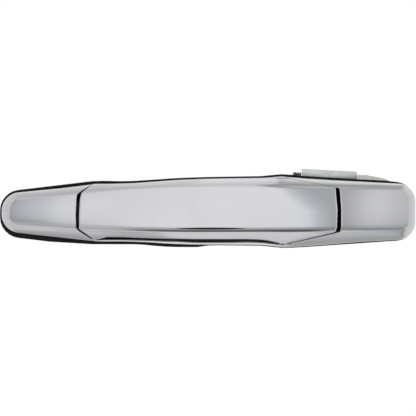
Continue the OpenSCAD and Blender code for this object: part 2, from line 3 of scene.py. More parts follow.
import bmesh
import bpy
import numpy as np
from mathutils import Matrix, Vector


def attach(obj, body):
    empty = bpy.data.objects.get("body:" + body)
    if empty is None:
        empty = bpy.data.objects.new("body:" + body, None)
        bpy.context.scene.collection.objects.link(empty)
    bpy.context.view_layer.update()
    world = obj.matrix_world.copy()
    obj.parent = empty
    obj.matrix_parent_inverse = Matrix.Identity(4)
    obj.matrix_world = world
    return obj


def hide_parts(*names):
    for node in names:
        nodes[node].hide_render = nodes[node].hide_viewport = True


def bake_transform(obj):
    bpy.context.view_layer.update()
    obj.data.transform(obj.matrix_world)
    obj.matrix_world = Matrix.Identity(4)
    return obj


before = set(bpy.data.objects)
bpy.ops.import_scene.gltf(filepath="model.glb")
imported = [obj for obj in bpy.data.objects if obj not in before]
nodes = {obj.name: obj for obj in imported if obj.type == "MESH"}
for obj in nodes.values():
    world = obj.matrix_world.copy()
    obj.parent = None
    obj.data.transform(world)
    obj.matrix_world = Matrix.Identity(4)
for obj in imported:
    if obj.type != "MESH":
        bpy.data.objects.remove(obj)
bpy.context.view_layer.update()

mm = 0.001


# smooth curve through a few [x, value] pairs, softened over blur mm
def softLine(points, blur):
    xs = np.array([p[0] for p in points], float)
    ys = np.array([p[1] for p in points], float)
    step = 0.2
    grid = np.arange(xs[0] - 6 * blur, xs[-1] + 6 * blur, step)
    values = np.interp(grid, xs, ys)
    startSlope = (ys[1] - ys[0]) / (xs[1] - xs[0])
    endSlope = (ys[-1] - ys[-2]) / (xs[-1] - xs[-2])
    values = np.where(grid < xs[0], ys[0] + (grid - xs[0]) * startSlope, values)
    values = np.where(grid > xs[-1], ys[-1] + (grid - xs[-1]) * endSlope, values)
    reach = np.arange(-3 * blur, 3 * blur + step, step)
    weight = np.exp(-0.5 * (reach / blur) ** 2)
    half = len(reach) // 2
    padded = np.concatenate([values[0] + startSlope * step * np.arange(-half, 0), values,
                             values[-1] + endSlope * step * np.arange(1, half + 1)])
    soft = np.convolve(padded, weight / weight.sum(), mode="valid")[: len(grid)]
    return lambda x: np.interp(x, grid, soft)


# lower of two heights with the corner between them rounded over k mm
def softMin(a, b, k):
    h = np.clip(0.5 + 0.5 * (b - a) / k, 0, 1)
    return b + (a - b) * h - k * h * (1 - h)


# shortest way from each point to a line of [x, z] corners
def distanceTo(x, z, line):
    best = np.full(np.shape(x), 1e9)
    for (x0, z0), (x1, z1) in zip(line[:-1], line[1:]):
        dx, dz = x1 - x0, z1 - z0
        t = np.clip(((x - x0) * dx + (z - z0) * dz) / (dx * dx + dz * dz + 1e-12), 0, 1)
        best = np.minimum(best, np.hypot(x - x0 - t * dx, z - z0 - t * dz))
    return best


seam = {"crispRadius": 0.16, "crispAbove": 13.5, "crispRise": 2, "middleX": -19, "crispFrom": 60,
        "crispRun": 6}


# edge radius along the seams: nearly sharp high up at both ends of the lever
def seamRound(x, z, radius):
    high = np.clip((z - seam["crispAbove"]) / seam["crispRise"], 0, 1)
    away = np.clip((np.abs(x - seam["middleX"]) - seam["crispFrom"]) / seam["crispRun"], 0, 1)
    return radius + (seam["crispRadius"] - radius) * high * away


# drop of a rounded edge at a distance from that edge
def roundOver(distance, radius):
    t = np.clip(1 - distance / radius, 0, 1)
    return radius * (1 - np.sqrt(np.clip(1 - t * t, 0, 1)))


def newObject(name, verts, faces, material):
    mesh = bpy.data.meshes.new(name)
    mesh.from_pydata([tuple(v) for v in verts], [], faces)
    mesh.validate()
    mesh.update()
    for poly in mesh.polygons:
        poly.use_smooth = True
    obj = bpy.data.objects.new(name, mesh)
    bpy.context.scene.collection.objects.link(obj)
    mesh.materials.append(material)
    return obj


# closed skin over the kept cells of a front grid and a back grid of the same size
def closedShell(name, front, back, keep, material):
    columns, rows = front.shape[:2]
    index = np.arange(columns * rows).reshape(columns, rows)
    count = columns * rows
    faces, edges = [], {}
    for i in range(columns - 1):
        for j in range(rows - 1):
            if keep[i, j]:
                quad = [int(index[i, j]), int(index[i + 1, j]),
                        int(index[i + 1, j + 1]), int(index[i, j + 1])]
                faces.append(quad)
                faces.append([q + count for q in reversed(quad)])
                for k in range(4):
                    edges[(quad[k], quad[(k + 1) % 4])] = True
    for a, b in edges:
        if (b, a) not in edges:
            faces.append([b, a, a + count, b + count])
    verts = np.concatenate([front.reshape(-1, 3), back.reshape(-1, 3)]) * mm
    obj = newObject(name, verts, faces, material)
    tidy = bmesh.new()
    tidy.from_mesh(obj.data)
    bmesh.ops.delete(tidy, geom=[v for v in tidy.verts if not v.link_faces], context="VERTS")
    tidy.to_mesh(obj.data)
    tidy.free()
    return obj


def newMaterial(name):
    material = bpy.data.materials.new(name)
    material.use_nodes = True
    shader = material.node_tree.nodes["Principled BSDF"]
    return material, material.node_tree, shader


def addNode(tree, kind, **values):
    node = tree.nodes.new(kind)
    for key, value in values.items():
        if key in node.inputs:
            node.inputs[key].default_value = value
        else:
            setattr(node, key, value)
    return node


def objectPoints(tree, stretch=(1, 1, 1)):
    coords = addNode(tree, "ShaderNodeTexCoord")
    mapping = addNode(tree, "ShaderNodeMapping", Scale=stretch)
    tree.links.new(coords.outputs["Object"], mapping.inputs["Vector"])
    return mapping.outputs["Vector"]


def noiseField(tree, points, scale, detail=3.0, roughness=0.5):
    noise = addNode(tree, "ShaderNodeTexNoise", Scale=scale, Detail=detail, Roughness=roughness)
    tree.links.new(points, noise.inputs["Vector"])
    return noise.outputs["Fac"]


# noise stretched over a low to high range
def spread(tree, field, low, high):
    ranged = addNode(tree, "ShaderNodeMapRange")
    ranged.inputs["From Min"].default_value = 0.3
    ranged.inputs["From Max"].default_value = 0.7
    ranged.inputs["To Min"].default_value = low
    ranged.inputs["To Max"].default_value = high
    tree.links.new(field, ranged.inputs["Value"])
    return ranged.outputs["Result"]


def twoTone(tree, field, dark, light):
    ramp = addNode(tree, "ShaderNodeValToRGB")
    ramp.color_ramp.elements[0].position = 0.35
    ramp.color_ramp.elements[1].position = 0.65
    ramp.color_ramp.elements[0].color = (*dark, 1)
    ramp.color_ramp.elements[1].color = (*light, 1)
    tree.links.new(field, ramp.inputs["Fac"])
    return ramp.outputs["Color"]


def addBump(tree, shader, fields, distance, strength=1.0):
    last = None
    for field, share in fields:
        bump = addNode(tree, "ShaderNodeBump", Strength=strength, Distance=distance * share)
        tree.links.new(field, bump.inputs["Height"])
        if last:
            tree.links.new(last, bump.inputs["Normal"])
        last = bump.outputs["Normal"]
    tree.links.new(last, shader.inputs["Normal"])


chromeLook = {"dark": (0.63, 0.63, 0.645), "light": (0.68, 0.68, 0.695), "toneScale": 14,
              "gloss": (0.03, 0.06), "glossScale": 60, "ripple": 0.000004, "rippleScale": 420}


def chromeFinish(name, look):
    material, tree, shader = newMaterial(name)
    points = objectPoints(tree)
    shader.inputs["Metallic"].default_value = 1.0
    tone = noiseField(tree, points, look["toneScale"], 2)
    tree.links.new(twoTone(tree, tone, look["dark"], look["light"]), shader.inputs["Base Color"])
    gloss = noiseField(tree, points, look["glossScale"], 4)
    tree.links.new(spread(tree, gloss, *look["gloss"]), shader.inputs["Roughness"])
    ripple = noiseField(tree, points, look["rippleScale"], 2)
    addBump(tree, shader, [(ripple, 1.0)], look["ripple"], 0.5)
    return material


plasticLooks = {
    "baseNylon": {"dark": (0.008, 0.008, 0.009), "light": (0.016, 0.016, 0.017),
                  "gloss": (0.5, 0.66), "grain": 1500, "depth": 0.00005},
    "gripNylon": {"dark": (0.008, 0.008, 0.009), "light": (0.014, 0.014, 0.015),
                  "gloss": (0.42, 0.55), "grain": 2200, "depth": 0.00003},
    "coreNylon": {"dark": (0.011, 0.011, 0.012), "light": (0.02, 0.02, 0.021), "gloss": (0.4, 0.55),
                  "grain": 900, "depth": 0.00004},
    "bumperRubber": {"dark": (0.012, 0.012, 0.012), "light": (0.02, 0.02, 0.02),
                     "gloss": (0.7, 0.85), "grain": 1800, "depth": 0.00004},
    "acetal": {"dark": (0.66, 0.64, 0.57), "light": (0.76, 0.74, 0.68), "gloss": (0.3, 0.42),
               "grain": 700, "depth": 0.00001},
}


def plasticFinish(name, look, patchScale=55, glossScale=120):
    material, tree, shader = newMaterial(name)
    points = objectPoints(tree)
    patches = noiseField(tree, points, patchScale, 5, 0.6)
    grain = noiseField(tree, points, look["grain"], 3, 0.55)
    tree.links.new(twoTone(tree, patches, look["dark"], look["light"]), shader.inputs["Base Color"])
    gloss = noiseField(tree, points, glossScale, 4)
    tree.links.new(spread(tree, gloss, *look["gloss"]), shader.inputs["Roughness"])
    addBump(tree, shader, [(grain, 1.0), (patches, 0.8)], look["depth"], 0.7)
    return material


foamLook = {"dark": (0.006, 0.006, 0.006), "light": (0.016, 0.016, 0.016), "toneScale": 300,
            "cells": 1400, "depth": 0.00012, "rough": 0.9, "shine": 0.25}


def foamFinish(name, look):
    material, tree, shader = newMaterial(name)
    points = objectPoints(tree)
    cells = addNode(tree, "ShaderNodeTexVoronoi", Scale=look["cells"])
    tree.links.new(points, cells.inputs["Vector"])
    tone = noiseField(tree, points, look["toneScale"], 5)
    tree.links.new(twoTone(tree, tone, look["dark"], look["light"]), shader.inputs["Base Color"])
    shader.inputs["Roughness"].default_value = look["rough"]
    shader.inputs["Specular IOR Level"].default_value = look["shine"]
    addBump(tree, shader, [(cells.outputs["Distance"], 1.0)], look["depth"], 0.8)
    return material


metalLooks = {
    "fixingSteel": {"dark": (0.44, 0.45, 0.47), "light": (0.6, 0.61, 0.62), "gloss": (0.24, 0.4),
                    "stretch": (1, 1, 1), "grain": 300, "depth": 0.00001},
    "pinSteel": {"dark": (0.5, 0.5, 0.51), "light": (0.62, 0.62, 0.63), "gloss": (0.16, 0.28),
                 "stretch": (12, 1, 1), "grain": 420, "depth": 0.000006},
    "springSteel": {"dark": (0.13, 0.13, 0.13), "light": (0.2, 0.2, 0.2), "gloss": (0.3, 0.42),
                    "stretch": (1, 1, 1), "grain": 500, "depth": 0.000006},
    "castZinc": {"dark": (0.6, 0.6, 0.575), "light": (0.72, 0.72, 0.7), "gloss": (0.38, 0.55),
                 "stretch": (1, 1, 1), "grain": 260, "depth": 0.00004},
    "weightZinc": {"dark": (0.62, 0.63, 0.63), "light": (0.72, 0.725, 0.725), "gloss": (0.34, 0.48),
                   "stretch": (1, 1, 1), "grain": 420, "depth": 0.00002},
}


def metalFinish(name, look, patchScale=45):
    material, tree, shader = newMaterial(name)
    points = objectPoints(tree, look["stretch"])
    patches = noiseField(tree, points, patchScale, 5, 0.6)
    grain = noiseField(tree, points, look["grain"], 5, 0.6)
    shader.inputs["Metallic"].default_value = 1.0
    tree.links.new(twoTone(tree, patches, look["dark"], look["light"]), shader.inputs["Base Color"])
    tree.links.new(spread(tree, grain, *look["gloss"]), shader.inputs["Roughness"])
    addBump(tree, shader, [(grain, 1.0)], look["depth"], 0.8)
    return material


finishes = {"bezelChrome": chromeFinish("bezelChrome", chromeLook),
            "leverChrome": chromeFinish("leverChrome", chromeLook),
            "gasketFoam": foamFinish("gasketFoam", foamLook)}
for plasticName, plasticLook in plasticLooks.items():
    finishes[plasticName] = plasticFinish(plasticName, plasticLook)
for metalName, metalLook in metalLooks.items():
    finishes[metalName] = metalFinish(metalName, metalLook)
print("finishes ready:", len(finishes))

# outer surface shared by bezel and lever, in mm
form = {
    "leftX": -140.2, "rightX": 140.8, "cornerRadius": 11.5, "endFlank": 4.6,
    "foot": 1.5, "lip": 0.3, "peakDepth": 41.0, "peakX": 35.0,
    "fallLeft": 0.000785, "fallRight": 0.0015, "faceCrown": 1.4,
    "flankPower": 0.33, "lowerRound": 1.3, "upperRound": 2.4, "endRound": 1.6,
    "rollHigh": 3.4, "rollDrop": 0.5, "leverThick": 17.5, "railDepth": 5.0,
    "railHigh": [[-80, 1.5], [-50, 1.5], [-40, 1.65], [-21, 2.25], [-5, 1.8], [16, 2], [26, 2.3],
                 [60, 2.1]],
}
topLine = softLine([[-140.2, 12.4], [-131, 13.3], [-97, 16.7], [-80, 18.8], [-75, 19.9], [-64, 20],
                    [-50, 20.4], [-21, 22.5], [-5, 23.2], [18, 23.7], [36, 23.9], [47, 24.6],
                    [51, 24.1], [65, 23], [83, 21.9], [107, 20.65], [140.8, 18.7]], 1.6)
bottomLine = softLine([[-140.2, -13.6], [-131, -14.3], [-116, -16.1], [-97, -18.05], [-78, -20],
                       [-55, -20], [-40, -20.6], [-28, -21.5], [-12, -22.1], [35, -22.3],
                       [45, -23.3], [52, -24], [64, -23.4], [83, -22], [102, -20.5],
                       [140.8, -18.3]], 3)
upperCrease = softLine([[-140.2, 8.2], [-92, 12.4], [-79, 14], [-55, 16.2], [-5, 18], [31, 18.1],
                        [82, 16.8], [140.8, 15.4]], 9)
lowerCrease = softLine([[-140.2, -7], [-120, -8.5], [-90, -11], [-53, -12.6], [-20, -13.1],
                        [12, -13.1], [90, -12.6], [140.8, -11]], 9)


def depthAt(x):
    fall = np.where(x < form["peakX"], form["fallLeft"], form["fallRight"])
    return form["peakDepth"] - fall * (x - form["peakX"]) ** 2


# depth in front of the door: flanks climb from the outline to the crowned face
def frontAt(x, z):
    r = form["cornerRadius"]
    dx = np.minimum(x - form["leftX"], form["rightX"] - x)
    topGap, bottomGap = topLine(x) - z, z - bottomLine(x)
    isTop = topGap < bottomGap
    dz = np.minimum(topGap, bottomGap)
    sideFlank = np.where(isTop, topLine(x) - upperCrease(x), lowerCrease(x) - bottomLine(x))
    u, v = np.clip(1 - dx / r, 0, None), np.clip(1 - dz / r, 0, None)
    out = np.hypot(u, v)
    flank = (form["endFlank"] * u * u + sideFlank * v * v) / np.maximum(out * out, 1e-9)
    t = np.where((u > 0) & (v > 0), r * (1 - out) / np.maximum(flank, 0.1),
                 np.minimum(dx / form["endFlank"], dz / sideFlank))
    middle = (upperCrease(x) + lowerCrease(x)) / 2
    half = (upperCrease(x) - lowerCrease(x)) / 2
    off = np.clip(np.abs(z - middle) / half, 0, 1)
    base = form["foot"] + form["lip"]
    roll = np.clip(1 - (z - lowerCrease(x)) / form["rollHigh"], 0, 1.5)
    full = depthAt(x) - form["faceCrown"] * off ** 2 - form["rollDrop"] * roll ** 2 - base
    climb = full * np.sign(t) * np.abs(t) ** form["flankPower"]
    rounding = np.where(isTop, form["upperRound"], form["lowerRound"])
    endShare = np.clip(u * u / np.maximum(out * out, 1e-9), 0, 1)
    rounding = rounding + (form["endRound"] - rounding) * endShare
    return base + softMin(climb, full, rounding)


# how far the rounded ends pull the outline in
def cornerDrop(x):
    r = form["cornerRadius"]
    d = np.clip(np.minimum(x - form["leftX"], form["rightX"] - x), 0, r)
    return r - np.sqrt(np.clip(r * r - (r - d) ** 2, 0, None))


def topAt(x):
    return topLine(x) - cornerDrop(x)


def bottomAt(x):
    return bottomLine(x) + cornerDrop(x)


# inner side of a wall: the surface moved in along its own normal, or straight back near a seam
def insideOf(height, x, z, wall, near):
    e = 0.04
    sx = (height(x + e, z) - height(x - e, z)) / (2 * e)
    sz = (height(x, z + e) - height(x, z - e)) / (2 * e)
    size = np.sqrt(1 + sx * sx + sz * sz)
    y = -height(x, z) + wall * (near / size + (1 - near) * np.minimum(size, 3.0))
    return x + near * wall * sx / size, y, z + near * wall * sz / size


bezel = {
    "wall": 2.0, "edgeRound": 0.7, "seamReach": 3.5,
    "leftEdge": [[-19.45, -77.45], [-11.8, -87.9], [-10.2, -88.6], [-1.6, -88.8], [9, -88.3],
                 [11.8, -87.9], [13.25, -86.45], [19.5, -77.4]],
    "rightEdge": [[-22.6, 50], [-14.1, 85.2], [-13.6, 88.4], [-10.5, 89.2], [1.5, 89.2],
                  [15.6, 88.2], [16.3, 87.3], [24.15, 48.1]],
    "railLeft": -78.0, "railRight": 57.0, "railFade": [-85, -75, 50, 62], "railBlend": 1.6,
    "railFloor": 0.4, "railRows": 12, "settleTurns": 14,
}


# under the lever the skin stops at the thin rail
def bezelFront(x, z):
    free, low = 60, form["railDepth"]
    limit = np.interp(x, bezel["railFade"], [free, low, low, free])
    return softMin(frontAt(x, z), limit, bezel["railBlend"])


# X of a seam at a height
def edgeAt(table, z):
    return np.interp(z, [p[0] for p in table], [p[1] for p in table])


def railHighAt(x):
    return np.interp(x, [p[0] for p in form["railHigh"]], [p[1] for p in form["railHigh"]])


# height of one grid row at x: s runs 0 to 1 through the rail, lower flank, face or upper flank
def bezelRowZ(x, part, s):
    low, high = bottomAt(x), topAt(x)
    tall = high - low
    rail = np.minimum(railHighAt(x), 0.25 * tall)
    lower = np.minimum(np.maximum(lowerCrease(x) - bottomLine(x), rail + 1), 0.45 * tall)
    upper = np.minimum(topLine(x) - upperCrease(x), 0.45 * tall)
    if part == "rail":
        return low + rail * s ** 3 * (1.4 - 0.4 * s)
    if part == "lower":
        first = (rail / lower) ** (1 / 3)
        return low + lower * (first + (1 - first) * s) ** 3
    if part == "face":
        return low + lower + (high - upper - low - lower) * s
    return high - upper * (1 - s) ** 3


def buildBezel():
    railRows = bezel["railRows"]
    rowPlan = [("rail", s) for s in np.linspace(0, 1, railRows + 1)[:-1]]
    rowPlan += [("rail", 1.0)] + [("lower", s) for s in np.linspace(0, 1, 15)[1:-1]]
    faceSteps = 0.5 - 0.5 * np.cos(np.linspace(0, math.pi, 33))
    faceSteps = 0.5 * faceSteps + 0.5 * np.linspace(0, 1, 33)
    rowPlan += [("face", s) for s in faceSteps]
    rowPlan += [("upper", s) for s in np.linspace(0, 1, 17)[1:]]
    rows = len(rowPlan)
    # columns crowd together at the ends and at the seams, in mm of a 50 mm stretch
    near = np.array([0, 0.02, 0.06, 0.12, 0.2, 0.32, 0.48, 0.7, 1.0, 1.4, 1.9, 2.6, 3.4, 4.4])
    endSteps = 4.6 * np.linspace(0, 1, 15) ** 3
    leftSteps = np.unique(np.concatenate([endSteps, np.linspace(5, 45, 56), 50 - near]) / 50)
    midSteps = np.linspace(0, 1, 90)[1:-1]
    columns = 2 * len(leftSteps) + len(midSteps)
    xs, zs = np.zeros((columns, rows)), np.zeros((columns, rows))
    for j, (part, s) in enumerate(rowPlan):
        if j <= railRows:
            leftEnd, rightEnd = bezel["railLeft"], bezel["railRight"]
        else:
            leftEnd, rightEnd = -88.0, 88.0  # first guess, settled on the seams by a few turns
            for turn in range(bezel["settleTurns"]):
                leftEnd = float(edgeAt(bezel["leftEdge"], bezelRowZ(leftEnd, part, s)))
                rightEnd = float(edgeAt(bezel["rightEdge"], bezelRowZ(rightEnd, part, s)))
        left = form["leftX"] + (leftEnd - form["leftX"]) * leftSteps
        middle = leftEnd + (rightEnd - leftEnd) * midSteps
        right = form["rightX"] + (rightEnd - form["rightX"]) * leftSteps[::-1]
        xs[:, j] = np.concatenate([left, middle, right])
        zs[:, j] = bezelRowZ(xs[:, j], part, s)
    first, last = len(leftSteps), len(leftSteps) + len(midSteps)
    keep = np.ones((columns - 1, rows - 1), bool)
    keep[first - 1:last, railRows:] = False
    line = [(xs[first - 1, j], zs[first - 1, j]) for j in range(rows - 1, railRows - 1, -1)]
    line += [(xs[i, railRows], zs[i, railRows]) for i in range(first, last)]
    line += [(xs[last, j], zs[last, j]) for j in range(railRows, rows)]
    drop = roundOver(distanceTo(xs, zs, line), seamRound(xs, zs, bezel["edgeRound"]))
    front = np.stack([xs, -np.maximum(bezelFront(xs, zs) - drop, form["foot"] + 0.1), zs], axis=-1)
    seamShare = np.clip(distanceTo(xs, zs, line) / bezel["seamReach"], 0, 1)
    ix, iy, iz = insideOf(bezelFront, xs, zs, bezel["wall"], seamShare)
    iy = np.minimum(iy, -form["foot"])
    rail = (np.arange(rows)[None, :] <= railRows) & (xs > bezel["railLeft"] + 0.1) \
        & (xs < bezel["railRight"] - 0.1)
    lift = bezel["railFloor"] * np.clip(1 - (zs - bottomAt(xs)) / railHighAt(xs), 0, 1)
    ix, iy = np.where(rail, xs, ix), np.where(rail, -form["foot"], iy)
    iz = np.where(rail, zs + lift, iz)
    back = np.stack([ix, iy, iz], axis=-1)
    obj = closedShell("bezelShell", front, back, keep, finishes["bezelChrome"])
    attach(obj, "base")
    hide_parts("bezel")


buildBezel()
print("bezel built")

lever = {
    "top": softLine([[-87.3, 11], [-85.8, 12.4], [-77.7, 19], [-64, 19.05], [-50, 19.45],
                     [-21, 21.6], [-5, 22.3], [18, 22.8], [36, 22.95], [46, 23.7], [48, 23.95],
                     [87, 16.2]], 0.6),
    "bottom": softLine([[-87.3, -11], [-77, -18.9], [-75.5, -18.6], [-68.6, -16.9], [-59, -16.9],
                        [-50, -17.3], [-31, -17.9], [-5, -18.2], [26, -18.2], [35.5, -18.5],
                        [40.2, -19.2], [45, -20.3], [51, -22], [87, -13.3]], 0.6),
    "left": [[-11, -86.9], [-1.6, -86.85], [9, -86.3], [12.3, -85.4]],
    "right": [[-13.6, 85.1], [-10.5, 86.6], [1.5, 87], [16.2, 85.6]],
    "edgeRound": 0.9, "wall": 2.0, "columnSpan": 172.9, "thinEnd": [-84.8, -77], "endThick": 4.8,
    "leastFlank": 1.4, "skin": 2.0, "innerDepth": 3.0, "backGap": 0.3, "settleTurns": 5,
}


# depth of the lever's rear edge: thin at the pivot end
def leverBackAt(x):
    return depthAt(x) - np.interp(x, lever["thinEnd"], [lever["endThick"], form["leverThick"]])


def leverRowZ(x, part, s, inset):
    low, high = lever["bottom"](x) + inset, lever["top"](x) - inset
    lower = np.maximum(lowerCrease(x), low + 1.6)
    upper = np.minimum(upperCrease(x), high - 2.4)
    if part == "lower":
        return low + (lower - low) * s
    if part == "face":
        return lower + (upper - lower) * s
    return upper + (high - upper) * s


def buildLever():
    near = np.array([0, 0.015, 0.05, 0.11, 0.19, 0.3, 0.44, 0.62, 0.85, 1.15, 1.6, 2.2, 3.0, 4.0])
    lowSteps = np.concatenate([near[:11] / 6.0, np.linspace(0.34, 1, 12)])
    faceSteps = np.linspace(0, 1, 33)[1:-1]
    faceSteps = 0.6 * faceSteps + 0.4 * (0.5 - 0.5 * np.cos(faceSteps * math.pi))
    rowPlan = [("lower", s) for s in lowSteps] + [("face", s) for s in faceSteps]
    rowPlan += [("upper", s) for s in 1 - lowSteps[::-1]]
    span = lever["columnSpan"]
    columnSteps = np.concatenate([near, np.linspace(5, span - 5, 220), span - near[::-1]]) / span

    def grid(inset):
        xs, zs = [], []
        for part, s in rowPlan:
            leftEnd, rightEnd = -87.0, 86.0
            for turn in range(lever["settleTurns"]):
                leftEnd = float(edgeAt(lever["left"], leverRowZ(leftEnd, part, s, inset)))
                rightEnd = float(edgeAt(lever["right"], leverRowZ(rightEnd, part, s, inset)))
            row = leftEnd + inset + (rightEnd - leftEnd - 2 * inset) * columnSteps
            xs.append(row)
            zs.append(leverRowZ(row, part, s, inset))
        return np.array(xs).T, np.array(zs).T

    xs, zs = grid(0.0)
    columns, rows = xs.shape
    rim = [(i, 0) for i in range(columns)] + [(columns - 1, j) for j in range(1, rows)]
    rim += [(i, rows - 1) for i in range(columns - 2, -1, -1)]
    rim += [(0, j) for j in range(rows - 2, 0, -1)]
    outline = [(xs[i, j], zs[i, j]) for i, j in rim + rim[:1]]
    drop = roundOver(distanceTo(xs, zs, outline), seamRound(xs, zs, lever["edgeRound"]))
    front = -(np.maximum(frontAt(xs, zs), leverBackAt(xs) + lever["leastFlank"]) - drop)
    ixs, izs = grid(lever["wall"])
    skin = np.maximum(frontAt(ixs, izs), leverBackAt(ixs) + lever["leastFlank"]) - lever["skin"]
    inner = -np.minimum(skin, depthAt(ixs) - lever["innerDepth"])
    inner = np.minimum(inner, -leverBackAt(ixs) - lever["backGap"])

    count = columns * rows
    index = np.arange(count).reshape(columns, rows)
    loopIndex = [int(index[i, j]) for i, j in rim]
    verts = [np.stack([xs, front, zs], -1).reshape(-1, 3),
             np.stack([ixs, inner, izs], -1).reshape(-1, 3)]
    faces = []
    for i in range(columns - 1):
        for j in range(rows - 1):
            quad = [int(index[i, j]), int(index[i + 1, j]),
                    int(index[i + 1, j + 1]), int(index[i, j + 1])]
            faces.append(quad)
            faces.append([q + count for q in reversed(quad)])
    # side wall: rings from the rounded front edge to the back, round the rim, up to the inner skin
    frontFlat, innerFlat = verts[0][loopIndex], verts[1][loopIndex]
    n = len(loopIndex)
    backY = -leverBackAt(frontFlat[:, 0])
    ringStart = 2 * count
    rings = []
    for share, inward, rise in [(0.35, 0.04, 0), (0.7, 0.1, 0), (1.0, 0.16, 0.45), (1.0, 0.3, 0.12),
                                (1.0, 0.55, 0.0), (1.0, 0.85, 0.0)]:
        towards = (innerFlat - frontFlat)[:, [0, 2]] * inward
        x, z = frontFlat[:, 0] + towards[:, 0], frontFlat[:, 2] + towards[:, 1]
        y = frontFlat[:, 1] + (backY - rise - frontFlat[:, 1]) * share
        rings.append(np.stack([x, y, z], -1))
    verts += rings
    chain = [loopIndex] + [[ringStart + k * n + m for m in range(n)] for k in range(len(rings))]
    chain.append([i + count for i in loopIndex])
    for near0, near1 in zip(chain[:-1], chain[1:]):
        for m in range(n):
            o = (m + 1) % n
            faces.append([near0[o], near0[m], near1[m], near1[o]])
    obj = newObject("leverShell", np.concatenate(verts) * mm, faces, finishes["leverChrome"])
    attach(obj, "lever")
    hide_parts("lever_face")


buildLever()
print("lever built")

bodies = {"chassis": "base", "gasket": "base", "crank_bracket": "base", "grip_cover": "lever",
          "lever_core": "lever", "bellcrank": "crank", "counterweight": "crank", "rod_clip": "clip"}
softEdges = {
    "chassis": {"finish": "baseNylon", "slot": "base_nylon", "edge": 0.3, "bend": 35},
    "gasket": {"finish": "gasketFoam", "slot": "gasket_foam", "edge": 0.5, "bend": 50},
    "crank_bracket": {"finish": "castZinc", "slot": "cast_zinc", "edge": 0.4, "bend": 35},
    "grip_cover": {"finish": "gripNylon", "slot": "grip_nylon", "edge": 0.4, "bend": 50},
    "lever_core": {"finish": "coreNylon", "slot": "core_nylon", "edge": 0.35, "bend": 35},
    "bellcrank": {"finish": "castZinc", "slot": "cast_zinc", "edge": 0.35, "bend": 35},
    "counterweight": {"finish": "weightZinc", "slot": "weight_zinc", "edge": 0.3, "bend": 50},
    "rod_clip": {"finish": "acetal", "slot": "acetal", "edge": 0.25, "bend": 35},
}
softening = {"weldGap": 0.00001, "flatAngle": 1.5, "steps": 2, "speck": 0.000002, "sharpFrom": 40}


# CAD piece as a copy with its points joined and its flat faces whole
def weldedCopy(source, name, material):
    obj = bpy.data.objects.new(name, source.data.copy())
    obj.matrix_world = source.matrix_world.copy()
    bpy.context.scene.collection.objects.link(obj)
    obj.data.materials.clear()
    obj.data.materials.append(material)
    weld = bmesh.new()
    weld.from_mesh(obj.data)
    bmesh.ops.remove_doubles(weld, verts=weld.verts, dist=softening["weldGap"])
    flat = math.radians(softening["flatAngle"])
    bmesh.ops.dissolve_limit(weld, angle_limit=flat, verts=weld.verts, edges=weld.edges)
    weld.to_mesh(obj.data)
    weld.free()
    return obj


# moulded or cast piece with its corners rolled over
def softenedPiece(nodeName, look):
    obj = weldedCopy(nodes[nodeName], nodeName + "Soft", finishes[look["finish"]])
    roll = obj.modifiers.new("roll", "BEVEL")
    roll.width, roll.segments = look["edge"] * mm, softening["steps"]
    roll.limit_method, roll.angle_limit = "ANGLE", math.radians(look["bend"])
    roll.use_clamp_overlap = True
    shaped = obj.evaluated_get(bpy.context.evaluated_depsgraph_get())
    rolled = bpy.data.meshes.new_from_object(shaped)
    obj.modifiers.clear()
    obj.data = rolled
    if nodeName == "counterweight":  # its arc meets the flat so closely that specks are left
        clean = bmesh.new()
        clean.from_mesh(rolled)
        manySided = [face for face in clean.faces if len(face.verts) > 4]
        bmesh.ops.triangulate(clean, faces=manySided)
        bmesh.ops.dissolve_degenerate(clean, dist=softening["speck"], edges=clean.edges)
        clean.to_mesh(rolled)
        clean.free()
    for poly in rolled.polygons:
        poly.use_smooth = True
    rolled.set_sharp_from_angle(angle=math.radians(softening["sharpFrom"]))
    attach(obj, bodies[nodeName])
    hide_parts(nodeName)


for nodeName, look in softEdges.items():
    softenedPiece(nodeName, look)
print("soft-edged pieces built:", len(softEdges))

screws = {
    "threadPitch": 0.8, "threadDepth": 0.22, "shank": 1.5, "head": 2.9, "headHigh": 1.5,
    "socket": 1.35, "socketDeep": 0.9, "lobes": 6, "lobeDepth": 0.16, "sides": 48,
    "ringStep": 0.16, "sharpFrom": 42,
    "bezel": [(-131, -1), (-95, -12.3), (100, -13), (131, 0)], "bezelSeat": -3.2, "bezelReach": 9,
    "bracket": [(64.5, 11), (98, 11)], "bracketSeat": 10.5, "bracketReach": 9.5,
    "lever": [-58, 0, 50], "leverReach": 7.9,
}
threadMark = -0.0001  # a ring with this star share carries the thread


# faces of a closed tube: rings of equal size in order, with both ends capped
def tubeFaces(ringCount, sides):
    faces = []
    for i in range(ringCount - 1):
        for k in range(sides):
            n = (k + 1) % sides
            faces.append([i * sides + k, i * sides + n, (i + 1) * sides + n, (i + 1) * sides + k])
    faces.append(list(range(sides))[::-1])
    faces.append([(ringCount - 1) * sides + k for k in range(sides)])
    return faces


# rings of (radius, y, star share) joined into one closed turned piece about the Y axis
def turnedAboutY(rings, x, z, sides, lobes=0, pitch=0.0):
    verts = []
    for radius, y, star in rings:
        for k in range(sides):
            a = 2 * math.pi * k / sides
            wave = 1 + star * screws["lobeDepth"] * (math.cos(lobes * a) - 0.6)
            verts.append((x + radius * wave * math.cos(a), y, z + radius * wave * math.sin(a)))
    if pitch:
        threaded = []
        for index, (vx, vy, vz) in enumerate(verts):
            ring = index // sides
            if rings[ring][2] < 0:
                turn = (vy / pitch + (index % sides) / sides) % 1.0
                cut = 1 - screws["threadDepth"] * abs(2 * turn - 1) ** 0.8 / rings[ring][0]
                vx, vz = x + (vx - x) * cut, z + (vz - z) * cut
            threaded.append((vx, vy, vz))
        verts = threaded
    return verts, tubeFaces(len(rings), sides)


